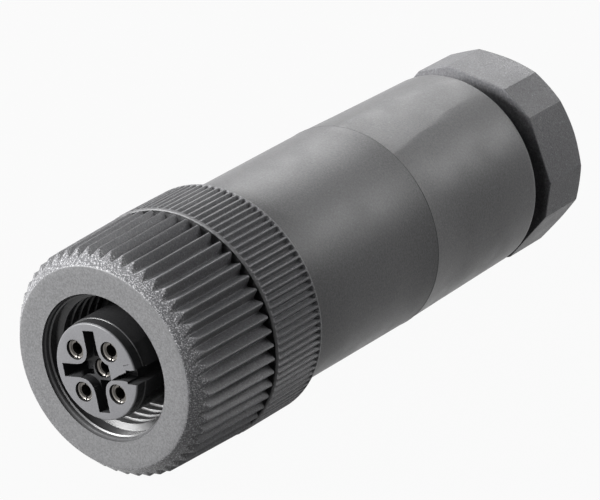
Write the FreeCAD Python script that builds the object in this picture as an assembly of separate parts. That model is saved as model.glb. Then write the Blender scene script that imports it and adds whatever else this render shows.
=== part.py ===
import FreeCAD, Part
import math
import os

os.makedirs("parts", exist_ok=True)

# Straight female cable connector with an M12 coupling nut, five sockets and a screwed cable gland.
# It lies along Y: the mating face looks to -Y, the cable leaves to +Y, and +Z goes through one wrench flat.
# The origin is the centre of the insulator's mating face. All lengths are in millimetres, angles in degrees,
# and an angle round the axis is seen from the mating face, from +X towards +Z.

# Lengths along the axis, from the mating face backwards
NUT_SETBACK = 0.8
NUT_LENGTH = 9.3
NUT_GAP = 0.25
COLLAR_LENGTH = 5.9
HOUSING_GAP = 0.05
SLEEVE_FRONT_LENGTH = 17.2
SLEEVE_REAR_LENGTH = 15.0
GLAND_GAP = 1.8
GLAND_LENGTH = 5.9

# How far a cutting shape runs past the face that it opens
OVERRUN = 1.0

# Clearances
SEAT_CLEARANCE = 0.02
RUNNING_CLEARANCE = 0.05
LOOSE_CLEARANCE = 0.1

# Outer radius of the grip, where the coupling nut and the collar behind it line up
GRIP_R = 9.9

# Coupling nut
NUT_FACE_DROP = 1.38
NUT_CREST_TAPER = 0.28
NUT_CONE_RISE = 0.85
NUT_RIBS = 52
NUT_RIB_DEPTH = 0.8
NUT_CREST_WIDTH = 0.14
NUT_ROOT_WIDTH = 0.1
NUT_REAR_CHAMFER = 0.3
NUT_THREAD_R = 6.0
NUT_MOUTH_R = 6.2
NUT_MOUTH_DEPTH = 0.35
NUT_FLANGE_LENGTH = 1.45
NUT_END_PLAY = 0.1

# Carrier: the fine-knurled collar, the tube that the nut turns on and the threaded spigot for the housing
COLLAR_PROUD = 0.05
COLLAR_RIM_DROP = 0.15
COLLAR_RIBS = 100
COLLAR_RIB_DEPTH = 0.4
COLLAR_CREST_WIDTH = 0.18
COLLAR_ROOT_WIDTH = 0.08
COLLAR_FRONT_RIM = 0.3
COLLAR_REAR_RIM = 0.45
COLLAR_EDGE = 0.12
TUBE_R = 4.95
TUBE_BORE_R = 4.22
CARRIER_WEB = 2.5
BLOCK_R = 6.55
SPIGOT_R = 7.95
SPIGOT_LENGTH = 6.05
SPIGOT_CHAMFER = 0.4

# O-ring between the carrier and the housing, in a groove at the spigot's root
SEAL_SECTION_SIDES = 12
HOUSING_SEAL_TUBE_R = 0.55
HOUSING_SEAL_GROOVE_DEPTH = 0.85
HOUSING_SEAL_GROOVE_SPACE = 0.2
HOUSING_SEAL_GROOVE_WALL = 0.35

# Front insulator with the sockets' holes
INSERT_R = 4.37
INSERT_FACE_R = 4.08
INSERT_BEVEL = 0.5
INSERT_FLANGE_R = 5.4
INSERT_FLANGE_LENGTH = 1.05
FACE_SEAL_TUBE_R = 0.48
CONTACT_CIRCLE_R = 2.5
CONTACT_PHASE = 67.7
CONTACT_HOLE_R = 0.85
PLATFORM_DEPTH = 0.85
PLATFORM_HALF = 1.0
CORE_SLOT_DEPTH = 5.0
CORE_SLOT_WIDTH = 1.12
CORE_SLOT_END_R = 3.42
CHANNEL_DEPTH = 1.8
CHANNEL_POCKET_R = 2.45
ISLAND_R = 1.18
BRIDGE_START = 1.42
KEY_ANGLE = 18.5
KEY_WIDTH = 1.16
KEY_FLOOR_R = 3.1
KEY_LENGTH = 6.2

# Turned sockets with a screw terminal at the back
SOCKET_R = 0.8
SOCKET_BORE_R = 0.5
SOCKET_BORE_DEPTH = 5.0
SOCKET_SETBACK = 0.3
SOCKET_SLIT_ANGLE = 104.0
SOCKET_SLIT_WIDTH = 0.16
SOCKET_SLIT_LENGTH = 4.0
SOCKET_LENGTH = 7.5
SHANK_R = 0.7
BARREL_R = 1.3
BARREL_LENGTH = 7.0
CENTRE_BARREL_LENGTH = 5.6
WIRE_BORE_R = 0.6
WIRE_BORE_DEPTH = 5.4
CENTRE_WIRE_BORE_DEPTH = 4.4

# Terminal screws, shown open
SCREW_R = 0.8
SCREW_HEAD_R = 1.25
SCREW_HEAD_HEIGHT = 0.8
SCREW_TRAVEL = 0.8
SCREW_SLOT_WIDTH = 0.32
SCREW_SLOT_DEPTH = 0.38
CENTRE_SCREW_ANGLE = 112.7

# Rear insulator
BLOCK_BARREL_START = 9.95
BLOCK_REAR_WALL = 0.5
TOWER_R = 2.75
TOWER_STEP = 1.0
TOWER_CHANNEL_R = 0.9

# Housing: the plain sleeve with its seam, wrench flats and gland spigot
SLEEVE_FRONT_R = 9.04
SEAM_R = 9.11
SLEEVE_REAR_R = 8.83
SLEEVE_REAR_ROUND = 0.3
SLEEVE_FRONT_EDGE = 0.1
FLAT_APOTHEM = 8.62
FLAT_RISE = 0.015
FLAT_ANGLES = (90.0, 270.0)
HOUSING_BORE_R = 7.6
HOUSING_SHOULDER_LENGTH = 2.5
HOUSING_PASSAGE_R = 4.2
SEAL_SEAT_DEPTH = 2.7
SEAL_BORE_R = 5.8
GLAND_SPIGOT_R = 7.0
GLAND_SPIGOT_LENGTH = 3.6
GLAND_SPIGOT_CHAMFER = 0.4

# Cable seal and clamping cage
CABLE_SEAL_LENGTH = 5.0
CABLE_SEAL_BORE_R = 3.1
CABLE_SEAL_LIP = 0.4
CAGE_BORE_R = 3.6
CAGE_RING_LENGTH = 1.4
CAGE_TIP_R = 5.25
CAGE_TAPER_LENGTH = 1.4
CAGE_SLOTS = 8
CAGE_SLOT_WIDTH = 0.8

# Gland nut: six wide and six narrow sides
GLAND_FRONT_R = 9.02
GLAND_REAR_R = 9.0
GLAND_SIDES = 6
GLAND_WIDE_HALF_ANGLE = 19.0
GLAND_WIDE_CENTRE = 92.0
GLAND_REAR_FACE_R = 7.85
GLAND_REAR_CHAMFER = 0.65
GLAND_WALL = 1.0
GLAND_OPENING_R = 4.2
GLAND_CONE_LENGTH = 0.9
GLAND_CONE_R = 5.45

# Radii that follow from the grip
NUT_CREST_REAR_R = GRIP_R
NUT_CREST_FRONT_R = GRIP_R - NUT_CREST_TAPER
NUT_FACE_R = GRIP_R - NUT_FACE_DROP
COLLAR_R = GRIP_R + COLLAR_PROUD
COLLAR_RIM_R = COLLAR_R - COLLAR_RIM_DROP

# Stations that follow from the lengths
NUT_FRONT_Y = NUT_SETBACK
NUT_REAR_Y = NUT_FRONT_Y + NUT_LENGTH
COLLAR_FRONT_Y = NUT_REAR_Y + NUT_GAP
COLLAR_REAR_Y = COLLAR_FRONT_Y + COLLAR_LENGTH
HOUSING_FRONT_Y = COLLAR_REAR_Y + HOUSING_GAP
SEAM_Y = HOUSING_FRONT_Y + SLEEVE_FRONT_LENGTH
HOUSING_REAR_Y = SEAM_Y + SLEEVE_REAR_LENGTH
GLAND_FRONT_Y = HOUSING_REAR_Y + GLAND_GAP
GLAND_REAR_Y = GLAND_FRONT_Y + GLAND_LENGTH
NUT_FLANGE_Y = NUT_REAR_Y - NUT_FLANGE_LENGTH
INSERT_FLANGE_REAR_Y = NUT_FLANGE_Y - NUT_END_PLAY
INSERT_FLANGE_FRONT_Y = INSERT_FLANGE_REAR_Y - INSERT_FLANGE_LENGTH
BLOCK_SEAT_Y = COLLAR_FRONT_Y + CARRIER_WEB
SPIGOT_REAR_Y = COLLAR_REAR_Y + SPIGOT_LENGTH
BARREL_Y = BLOCK_SEAT_Y + BLOCK_BARREL_START
BLOCK_REAR_Y = BARREL_Y + BARREL_LENGTH + BLOCK_REAR_WALL
CENTRE_BARREL_Y = BLOCK_REAR_Y + TOWER_STEP
TOWER_REAR_Y = CENTRE_BARREL_Y + CENTRE_BARREL_LENGTH + BLOCK_REAR_WALL
SEAL_SEAT_Y = HOUSING_REAR_Y - SEAL_SEAT_DEPTH
SHOULDER_Y = SEAL_SEAT_Y - HOUSING_SHOULDER_LENGTH
GLAND_SPIGOT_REAR_Y = HOUSING_REAR_Y + GLAND_SPIGOT_LENGTH
GLAND_WALL_Y = GLAND_REAR_Y - GLAND_WALL
CAGE_FRONT_Y = SEAL_SEAT_Y + CABLE_SEAL_LENGTH + LOOSE_CLEARANCE
CAGE_REAR_Y = GLAND_WALL_Y - LOOSE_CLEARANCE

Y_AXIS = FreeCAD.Vector(0, 1, 0)
ORIGIN = FreeCAD.Vector(0, 0, 0)


def point(radius, angle, y):
    """A point at a radius and an angle round the axis."""
    turn = math.radians(angle)
    return FreeCAD.Vector(radius * math.cos(turn), y, radius * math.sin(turn))


def turned(shape, angle):
    """A copy of a shape, turned round the axis from +X towards +Z."""
    copy = shape.copy()
    copy.rotate(ORIGIN, FreeCAD.Vector(0, -1, 0), angle)
    return copy


def revolve(profile):
    """A solid of revolution round Y from its closed outline of (radius, y) points."""
    corners = [FreeCAD.Vector(radius, y, 0) for radius, y in profile]
    wire = Part.makePolygon(corners + [corners[0]])
    return Part.Face(wire).revolve(ORIGIN, Y_AXIS, 360)


def rod(radius, start, end, centre=ORIGIN):
    """A round rod along the axis between two stations."""
    base = FreeCAD.Vector(centre.x, start, centre.z)
    return Part.makeCylinder(radius, end - start, base, Y_AXIS)


def spoke(radius, angle, y, inner, outer):
    """A round rod that stands out from the axis at an angle, between two radii."""
    direction = point(1, angle, 0)
    return Part.makeCylinder(radius, outer - inner, point(inner, angle, y), direction)


def slab(inner, outer, width, start, end, angle):
    """A block between two radii and two stations, as wide as given, at an angle round the axis."""
    corner = FreeCAD.Vector(inner, start, -width / 2)
    return turned(Part.makeBox(outer - inner, end - start, width, corner), angle)


def o_ring(centre_radius, tube_radius, y):
    """A rubber ring round the axis, its round section drawn with flat sides that meet its seats."""
    corner_r = tube_radius / math.cos(math.pi / SEAL_SECTION_SIDES)
    profile = []
    for side in range(SEAL_SECTION_SIDES):
        turn = math.pi * (2 * side + 1) / SEAL_SECTION_SIDES
        profile.append((centre_radius + corner_r * math.cos(turn), y + corner_r * math.sin(turn)))
    return revolve(profile)


def rib_outline(ribs, crest_r, depth, crest_width, root_width, y):
    """The closed star of a knurl's V grooves, with narrow flats at crest and root."""
    crest_half = math.degrees(crest_width / 2 / crest_r)
    root_half = math.degrees(root_width / 2 / crest_r)
    pitch = 360 / ribs
    corners = []
    for rib in range(ribs):
        middle = rib * pitch
        corners.append(point(crest_r, middle - crest_half, y))
        corners.append(point(crest_r, middle + crest_half, y))
        corners.append(point(crest_r - depth, middle + pitch / 2 - root_half, y))
        corners.append(point(crest_r - depth, middle + pitch / 2 + root_half, y))
    return Part.makePolygon(corners + [corners[0]])


def fuse(shapes):
    """One solid of several that meet."""
    return shapes[0].multiFuse(shapes[1:]).removeSplitter()


def only_solid(shape):
    """The one solid that a boolean leaves."""
    return shape.Solids[0] if len(shape.Solids) == 1 else shape


def coupling_nut():
    """The knurled ring: V ribs that widen to the rear, a smooth face with a cone round it, the thread's bore."""
    front_r = NUT_CREST_FRONT_R
    rear_r = NUT_CREST_REAR_R
    front = rib_outline(NUT_RIBS, front_r, NUT_RIB_DEPTH, NUT_CREST_WIDTH, NUT_ROOT_WIDTH, NUT_FRONT_Y)
    rear = rib_outline(NUT_RIBS, rear_r, NUT_RIB_DEPTH, NUT_CREST_WIDTH, NUT_ROOT_WIDTH, NUT_REAR_Y)
    ribs = Part.makeLoft([front, rear], True, True)
    beyond = NUT_CREST_REAR_R + NUT_RIB_DEPTH
    front_cone_length = (beyond - NUT_FACE_R) / NUT_CONE_RISE
    rear_chamfer = beyond - NUT_CREST_REAR_R + NUT_REAR_CHAMFER
    envelope = revolve(
        [
            (0, NUT_FRONT_Y),
            (NUT_FACE_R, NUT_FRONT_Y),
            (beyond, NUT_FRONT_Y + front_cone_length),
            (beyond, NUT_REAR_Y - rear_chamfer),
            (NUT_CREST_REAR_R - NUT_REAR_CHAMFER, NUT_REAR_Y),
            (0, NUT_REAR_Y),
        ]
    )
    flange_bore_r = TUBE_R + RUNNING_CLEARANCE
    mouth_rear_y = NUT_FRONT_Y + NUT_MOUTH_DEPTH
    bore = revolve(
        [
            (0, NUT_FRONT_Y - OVERRUN),
            (NUT_MOUTH_R, NUT_FRONT_Y - OVERRUN),
            (NUT_MOUTH_R, mouth_rear_y),
            (NUT_THREAD_R, mouth_rear_y + NUT_MOUTH_R - NUT_THREAD_R),
            (NUT_THREAD_R, NUT_FLANGE_Y),
            (flange_bore_r, NUT_FLANGE_Y),
            (flange_bore_r, NUT_REAR_Y + OVERRUN),
            (0, NUT_REAR_Y + OVERRUN),
        ]
    )
    return only_solid(ribs.common(envelope).cut(bore))


def contact_carrier():
    """The fine-knurled collar with the nut's tube in front and the housing's spigot behind."""
    knurl_start = COLLAR_FRONT_Y + COLLAR_FRONT_RIM
    knurl_end = COLLAR_REAR_Y - COLLAR_REAR_RIM
    outline = rib_outline(
        COLLAR_RIBS, COLLAR_R, COLLAR_RIB_DEPTH, COLLAR_CREST_WIDTH, COLLAR_ROOT_WIDTH, knurl_start
    )
    knurl = Part.Face(outline).extrude(FreeCAD.Vector(0, knurl_end - knurl_start, 0))
    groove_r = SPIGOT_R - HOUSING_SEAL_GROOVE_DEPTH
    groove_start = COLLAR_REAR_Y + HOUSING_SEAL_GROOVE_WALL
    groove_end = groove_start + 2 * HOUSING_SEAL_TUBE_R + HOUSING_SEAL_GROOVE_SPACE
    body = revolve(
        [
            (0, INSERT_FLANGE_REAR_Y + SEAT_CLEARANCE),
            (TUBE_R, INSERT_FLANGE_REAR_Y + SEAT_CLEARANCE),
            (TUBE_R, COLLAR_FRONT_Y),
            (COLLAR_RIM_R - COLLAR_EDGE, COLLAR_FRONT_Y),
            (COLLAR_RIM_R, COLLAR_FRONT_Y + COLLAR_EDGE),
            (COLLAR_RIM_R, knurl_start),
            (COLLAR_R - COLLAR_RIB_DEPTH, knurl_start),
            (COLLAR_R - COLLAR_RIB_DEPTH, knurl_end),
            (COLLAR_R, knurl_end),
            (COLLAR_R, COLLAR_REAR_Y - COLLAR_EDGE),
            (COLLAR_R - COLLAR_EDGE, COLLAR_REAR_Y),
            (SPIGOT_R, COLLAR_REAR_Y),
            (SPIGOT_R, groove_start),
            (groove_r, groove_start),
            (groove_r, groove_end),
            (SPIGOT_R, groove_end),
            (SPIGOT_R, SPIGOT_REAR_Y - SPIGOT_CHAMFER),
            (SPIGOT_R - SPIGOT_CHAMFER, SPIGOT_REAR_Y),
            (0, SPIGOT_REAR_Y),
        ]
    )
    bore = rod(TUBE_BORE_R, INSERT_FLANGE_REAR_Y - OVERRUN, BLOCK_SEAT_Y)
    pocket = rod(BLOCK_R + RUNNING_CLEARANCE, BLOCK_SEAT_Y, SPIGOT_REAR_Y + OVERRUN)
    return only_solid(body.fuse(knurl).cut(fuse([bore, pocket])))


def housing_seal():
    """The O-ring in the spigot's groove."""
    groove_r = SPIGOT_R - HOUSING_SEAL_GROOVE_DEPTH
    space = HOUSING_SEAL_GROOVE_SPACE / 2
    y = COLLAR_REAR_Y + HOUSING_SEAL_GROOVE_WALL + space + HOUSING_SEAL_TUBE_R
    return o_ring(groove_r + SEAT_CLEARANCE + HOUSING_SEAL_TUBE_R, HOUSING_SEAL_TUBE_R, y)


def contact_angles():
    """The four outer sockets' angles round the axis."""
    return [CONTACT_PHASE + quarter * 90 for quarter in range(4)]


def core_region(start, end):
    """The hollow in the middle of the insulator's face, left between the round islands of the four holes."""
    half = CONTACT_CIRCLE_R / math.sqrt(2)
    corner = FreeCAD.Vector(-half, start, -half)
    bridge_x = min(half, BRIDGE_START)
    square = Part.makeBox(half + bridge_x, end - start, 2 * half, corner)
    square = turned(square, CONTACT_PHASE - 45)
    islands = []
    for angle in contact_angles():
        islands.append(rod(ISLAND_R, start - OVERRUN, end + OVERRUN, point(CONTACT_CIRCLE_R, angle, 0)))
    return square.cut(islands[0].multiFuse(islands[1:]))


def socket_insert():
    """The front insulator: five holes, three cored slots round the islands, a low platform and the keyway."""
    shank_r = TUBE_BORE_R - SEAT_CLEARANCE
    body = revolve(
        [
            (0, 0),
            (INSERT_FACE_R, 0),
            (INSERT_R, INSERT_BEVEL),
            (INSERT_R, INSERT_FLANGE_FRONT_Y),
            (INSERT_FLANGE_R, INSERT_FLANGE_FRONT_Y),
            (INSERT_FLANGE_R, INSERT_FLANGE_REAR_Y),
            (shank_r, INSERT_FLANGE_REAR_Y),
            (shank_r, BLOCK_SEAT_Y),
            (0, BLOCK_SEAT_Y),
        ]
    )
    slot_angle = CONTACT_PHASE + 45
    deep = (CORE_SLOT_END_R, CORE_SLOT_WIDTH, -OVERRUN, CORE_SLOT_DEPTH)
    north = slab(PLATFORM_HALF, *deep, slot_angle)
    south = slab(PLATFORM_HALF, *deep, slot_angle + 180)
    pocket = slab(CHANNEL_POCKET_R, *deep, slot_angle + 90)
    channel = slab(PLATFORM_HALF, CORE_SLOT_END_R, CORE_SLOT_WIDTH, -OVERRUN, CHANNEL_DEPTH, slot_angle + 90)
    island = point(CONTACT_CIRCLE_R, CONTACT_PHASE + 180, 0)
    round_island = rod(ISLAND_R + CORE_SLOT_WIDTH / 2, -OVERRUN, CHANNEL_DEPTH, island)
    curve = round_island.common(core_region(-OVERRUN, CHANNEL_DEPTH))
    key = slab(KEY_FLOOR_R, INSERT_R + OVERRUN, KEY_WIDTH, -OVERRUN, KEY_LENGTH, KEY_ANGLE)
    hollows = [core_region(-OVERRUN, PLATFORM_DEPTH), north, south, pocket, channel, curve, key]
    hole_end = BLOCK_SEAT_Y + OVERRUN
    for angle in contact_angles():
        hollows.append(rod(CONTACT_HOLE_R, -OVERRUN, hole_end, point(CONTACT_CIRCLE_R, angle, 0)))
    hollows.append(rod(CONTACT_HOLE_R, -OVERRUN, hole_end))
    for hollow in hollows:
        body = body.cut(hollow)
    return only_solid(body)


def face_seal():
    """The O-ring on the insulator's flange."""
    y = INSERT_FLANGE_FRONT_Y - SEAT_CLEARANCE - FACE_SEAL_TUBE_R
    return o_ring(INSERT_R + SEAT_CLEARANCE + FACE_SEAL_TUBE_R, FACE_SEAL_TUBE_R, y)


def screw_station(barrel_y, barrel_length, bore_depth):
    """Where along a barrel its clamping screw stands: over the middle of the wire's bore."""
    return barrel_y + barrel_length - bore_depth / 2


def contact(front_y, barrel_y, barrel_length, bore_depth, circle_r, angle, screw_angle):
    """One turned socket: slit tube in front, shank, and the barrel that holds a wire and its screw."""
    bore_end = front_y + SOCKET_BORE_DEPTH
    barrel_end = barrel_y + barrel_length
    shape = revolve(
        [
            (0, bore_end),
            (SOCKET_BORE_R, bore_end),
            (SOCKET_BORE_R, front_y),
            (SOCKET_R, front_y),
            (SOCKET_R, front_y + SOCKET_LENGTH),
            (SHANK_R, front_y + SOCKET_LENGTH),
            (SHANK_R, barrel_y),
            (BARREL_R, barrel_y),
            (BARREL_R, barrel_end),
            (WIRE_BORE_R, barrel_end),
            (WIRE_BORE_R, barrel_end - bore_depth),
            (0, barrel_end - bore_depth),
        ]
    )
    slit_r = SOCKET_R + OVERRUN
    slit_end = front_y + SOCKET_SLIT_LENGTH
    slit = slab(-slit_r, slit_r, SOCKET_SLIT_WIDTH, front_y - OVERRUN, slit_end, SOCKET_SLIT_ANGLE)
    y = screw_station(barrel_y, barrel_length, bore_depth)
    tapped_floor = WIRE_BORE_R - SCREW_TRAVEL - RUNNING_CLEARANCE
    tapped = spoke(SCREW_R + RUNNING_CLEARANCE, screw_angle, y, tapped_floor, BARREL_R * 2)
    shape = only_solid(shape.cut(slit).cut(tapped))
    shape.translate(point(circle_r, angle, 0))
    return shape


def terminal_screw(barrel_y, barrel_length, bore_depth, circle_r, angle):
    """One slotted clamping screw, backed out until its tip clears the wire's bore."""
    y = screw_station(barrel_y, barrel_length, bore_depth)
    tip = circle_r + WIRE_BORE_R + RUNNING_CLEARANCE
    head = circle_r + BARREL_R + LOOSE_CLEARANCE + SCREW_TRAVEL
    top = head + SCREW_HEAD_HEIGHT
    shape = fuse([spoke(SCREW_R, angle, y, tip, head), spoke(SCREW_HEAD_R, angle, y, head, top)])
    beyond = SCREW_HEAD_R + OVERRUN
    slot = slab(top - SCREW_SLOT_DEPTH, top + OVERRUN, SCREW_SLOT_WIDTH, y - beyond, y + beyond, angle)
    return only_solid(shape.cut(slot))


def terminal_block():
    """The rear insulator: a drum with four barrel pockets and a grooved tower for the middle one."""
    drum_front_y = BLOCK_SEAT_Y + SEAT_CLEARANCE
    body = fuse([rod(BLOCK_R, drum_front_y, BLOCK_REAR_Y), rod(TOWER_R, BLOCK_REAR_Y, TOWER_REAR_Y)])
    pocket_r = BARREL_R + SEAT_CLEARANCE
    access_r = SCREW_HEAD_R + LOOSE_CLEARANCE
    screw_y = screw_station(BARREL_Y, BARREL_LENGTH, WIRE_BORE_DEPTH)
    hollows = []
    for angle in contact_angles():
        centre = point(CONTACT_CIRCLE_R, angle, 0)
        hollows.append(rod(CONTACT_HOLE_R, drum_front_y - OVERRUN, BARREL_Y, centre))
        hollows.append(rod(pocket_r, BARREL_Y - SEAT_CLEARANCE, BLOCK_REAR_Y + OVERRUN, centre))
        hollows.append(rod(TOWER_CHANNEL_R, BLOCK_REAR_Y - BLOCK_REAR_WALL, TOWER_REAR_Y + OVERRUN, centre))
        hollows.append(spoke(access_r, angle, screw_y, CONTACT_CIRCLE_R, BLOCK_R + OVERRUN))
    centre_screw_y = screw_station(CENTRE_BARREL_Y, CENTRE_BARREL_LENGTH, CENTRE_WIRE_BORE_DEPTH)
    hollows.append(rod(CONTACT_HOLE_R, drum_front_y - OVERRUN, CENTRE_BARREL_Y))
    hollows.append(rod(pocket_r, CENTRE_BARREL_Y - SEAT_CLEARANCE, TOWER_REAR_Y + OVERRUN))
    hollows.append(spoke(access_r, CENTRE_SCREW_ANGLE, centre_screw_y, 0, TOWER_R + OVERRUN))
    for hollow in hollows:
        body = body.cut(hollow)
    return only_solid(body)


def housing_sleeve():
    """The long sleeve: seam ring, two wrench flats behind it, the wire space, seal seat and gland spigot."""
    round_r = SLEEVE_REAR_ROUND
    outer = [
        (0, HOUSING_FRONT_Y),
        (SLEEVE_FRONT_R - SLEEVE_FRONT_EDGE, HOUSING_FRONT_Y),
        (SLEEVE_FRONT_R, HOUSING_FRONT_Y + SLEEVE_FRONT_EDGE),
        (SEAM_R, SEAM_Y),
        (SLEEVE_REAR_R, HOUSING_REAR_Y - round_r),
        (SLEEVE_REAR_R - round_r * 0.3, HOUSING_REAR_Y - round_r * 0.3),
        (SLEEVE_REAR_R - round_r, HOUSING_REAR_Y),
        (GLAND_SPIGOT_R, HOUSING_REAR_Y),
        (GLAND_SPIGOT_R, GLAND_SPIGOT_REAR_Y - GLAND_SPIGOT_CHAMFER),
        (GLAND_SPIGOT_R - GLAND_SPIGOT_CHAMFER, GLAND_SPIGOT_REAR_Y),
        (0, GLAND_SPIGOT_REAR_Y),
    ]
    thread_r = SPIGOT_R + RUNNING_CLEARANCE
    groove_r = SPIGOT_R - HOUSING_SEAL_GROOVE_DEPTH
    seal_outer_r = groove_r + SEAT_CLEARANCE + 2 * HOUSING_SEAL_TUBE_R + RUNNING_CLEARANCE
    seal_end = COLLAR_REAR_Y + HOUSING_SEAL_GROOVE_WALL + HOUSING_SEAL_GROOVE_SPACE + 2 * HOUSING_SEAL_TUBE_R
    thread_end = SPIGOT_REAR_Y + 5 * LOOSE_CLEARANCE
    inner = [
        (0, HOUSING_FRONT_Y - OVERRUN),
        (seal_outer_r, HOUSING_FRONT_Y - OVERRUN),
        (seal_outer_r, seal_end),
        (thread_r, seal_end + seal_outer_r - thread_r),
        (thread_r, thread_end),
        (HOUSING_BORE_R, thread_end),
        (HOUSING_BORE_R, SHOULDER_Y),
        (HOUSING_PASSAGE_R, SHOULDER_Y),
        (HOUSING_PASSAGE_R, SEAL_SEAT_Y),
        (SEAL_BORE_R, SEAL_SEAT_Y),
        (SEAL_BORE_R, GLAND_SPIGOT_REAR_Y + OVERRUN),
        (0, GLAND_SPIGOT_REAR_Y + OVERRUN),
    ]
    body = revolve(outer).cut(revolve(inner))
    flat_length = HOUSING_REAR_Y - SEAM_Y
    for angle in FLAT_ANGLES:
        side = [
            FreeCAD.Vector(FLAT_APOTHEM, SEAM_Y, -SEAM_R),
            FreeCAD.Vector(FLAT_APOTHEM + FLAT_RISE * flat_length, HOUSING_REAR_Y, -SEAM_R),
            FreeCAD.Vector(SEAM_R * 2, HOUSING_REAR_Y, -SEAM_R),
            FreeCAD.Vector(SEAM_R * 2, SEAM_Y, -SEAM_R),
        ]
        wedge = Part.Face(Part.makePolygon(side + [side[0]])).extrude(FreeCAD.Vector(0, 0, 2 * SEAM_R))
        body = body.cut(turned(wedge, angle))
    return only_solid(body)


def cable_seal():
    """The rubber sleeve that seals on the cable, with a bevelled lip at each end."""
    outer_r = SEAL_BORE_R - LOOSE_CLEARANCE
    rear_y = SEAL_SEAT_Y + CABLE_SEAL_LENGTH
    front_y = SEAL_SEAT_Y + SEAT_CLEARANCE
    return revolve(
        [
            (CABLE_SEAL_BORE_R + CABLE_SEAL_LIP, front_y),
            (outer_r - CABLE_SEAL_LIP, front_y),
            (outer_r, front_y + CABLE_SEAL_LIP),
            (outer_r, rear_y - CABLE_SEAL_LIP),
            (outer_r - CABLE_SEAL_LIP, rear_y),
            (CABLE_SEAL_BORE_R + CABLE_SEAL_LIP, rear_y),
            (CABLE_SEAL_BORE_R, rear_y - CABLE_SEAL_LIP),
            (CABLE_SEAL_BORE_R, front_y + CABLE_SEAL_LIP),
        ]
    )


def clamping_cage():
    """The slotted ring between seal and gland nut: a solid ring in front, tapered fingers behind."""
    outer_r = SEAL_BORE_R - LOOSE_CLEARANCE
    body = revolve(
        [
            (CAGE_BORE_R, CAGE_FRONT_Y),
            (outer_r, CAGE_FRONT_Y),
            (outer_r, CAGE_REAR_Y - CAGE_TAPER_LENGTH),
            (CAGE_TIP_R, CAGE_REAR_Y),
            (CAGE_BORE_R, CAGE_REAR_Y),
        ]
    )
    slot_y = CAGE_FRONT_Y + CAGE_RING_LENGTH
    for number in range(CAGE_SLOTS):
        angle = number * 360 / CAGE_SLOTS
        body = body.cut(slab(0, outer_r + OVERRUN, CAGE_SLOT_WIDTH, slot_y, CAGE_REAR_Y + OVERRUN, angle))
    return only_solid(body)


def gland_outline(radius, y):
    """The twelve-sided outline: each wide side is followed by a narrow one."""
    corners = []
    for side in range(GLAND_SIDES):
        middle = GLAND_WIDE_CENTRE + side * 360 / GLAND_SIDES
        corners.append(point(radius, middle - GLAND_WIDE_HALF_ANGLE, y))
        corners.append(point(radius, middle + GLAND_WIDE_HALF_ANGLE, y))
    return Part.makePolygon(corners + [corners[0]])


def gland_nut():
    """The gland nut: tapered twelve-sided outside, bevelled rear edge, thread bore and closing cone."""
    outside = Part.makeLoft(
        [gland_outline(GLAND_FRONT_R, GLAND_FRONT_Y), gland_outline(GLAND_REAR_R, GLAND_REAR_Y)], True, True
    )
    beyond = GLAND_FRONT_R + 1
    rear_corner_r = GLAND_REAR_FACE_R + GLAND_REAR_CHAMFER
    envelope = revolve(
        [
            (0, GLAND_FRONT_Y),
            (beyond, GLAND_FRONT_Y),
            (beyond, GLAND_REAR_Y - GLAND_REAR_CHAMFER - (beyond - rear_corner_r)),
            (GLAND_REAR_FACE_R, GLAND_REAR_Y),
            (0, GLAND_REAR_Y),
        ]
    )
    thread_r = GLAND_SPIGOT_R + RUNNING_CLEARANCE
    bore = revolve(
        [
            (0, GLAND_FRONT_Y - OVERRUN),
            (thread_r, GLAND_FRONT_Y - OVERRUN),
            (thread_r, GLAND_WALL_Y - GLAND_CONE_LENGTH),
            (GLAND_CONE_R, GLAND_WALL_Y),
            (GLAND_OPENING_R, GLAND_WALL_Y),
            (GLAND_OPENING_R, GLAND_REAR_Y + OVERRUN),
            (0, GLAND_REAR_Y + OVERRUN),
        ]
    )
    return only_solid(outside.common(envelope).cut(bore))


pieces = {
    "coupling_nut": coupling_nut(),
    "contact_carrier": contact_carrier(),
    "housing_seal": housing_seal(),
    "socket_insert": socket_insert(),
    "face_seal": face_seal(),
    "terminal_block": terminal_block(),
    "housing_sleeve": housing_sleeve(),
    "cable_seal": cable_seal(),
    "clamping_cage": clamping_cage(),
    "gland_nut": gland_nut(),
}
for number, angle in enumerate(contact_angles(), 1):
    outer_terminal = (BARREL_Y, BARREL_LENGTH, WIRE_BORE_DEPTH, CONTACT_CIRCLE_R, angle)
    pieces[f"contact_{number}"] = contact(SOCKET_SETBACK, *outer_terminal, angle)
    pieces[f"terminal_screw_{number}"] = terminal_screw(*outer_terminal)
centre_terminal = (CENTRE_BARREL_Y, CENTRE_BARREL_LENGTH, CENTRE_WIRE_BORE_DEPTH, 0)
centre_front_y = PLATFORM_DEPTH + SOCKET_SETBACK
pieces["contact_5"] = contact(centre_front_y, *centre_terminal, 0, CENTRE_SCREW_ANGLE)
pieces["terminal_screw_5"] = terminal_screw(*centre_terminal, CENTRE_SCREW_ANGLE)

for name, shape in pieces.items():
    shape.exportStep(f"parts/{name}.step")
    solids = len(shape.Solids)
    print(f"{name}: {solids} solid, valid {shape.isValid()}, {shape.Volume:.2f} mm3")
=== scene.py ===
import math

import bmesh
import bpy
from mathutils import Matrix, Vector


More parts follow.
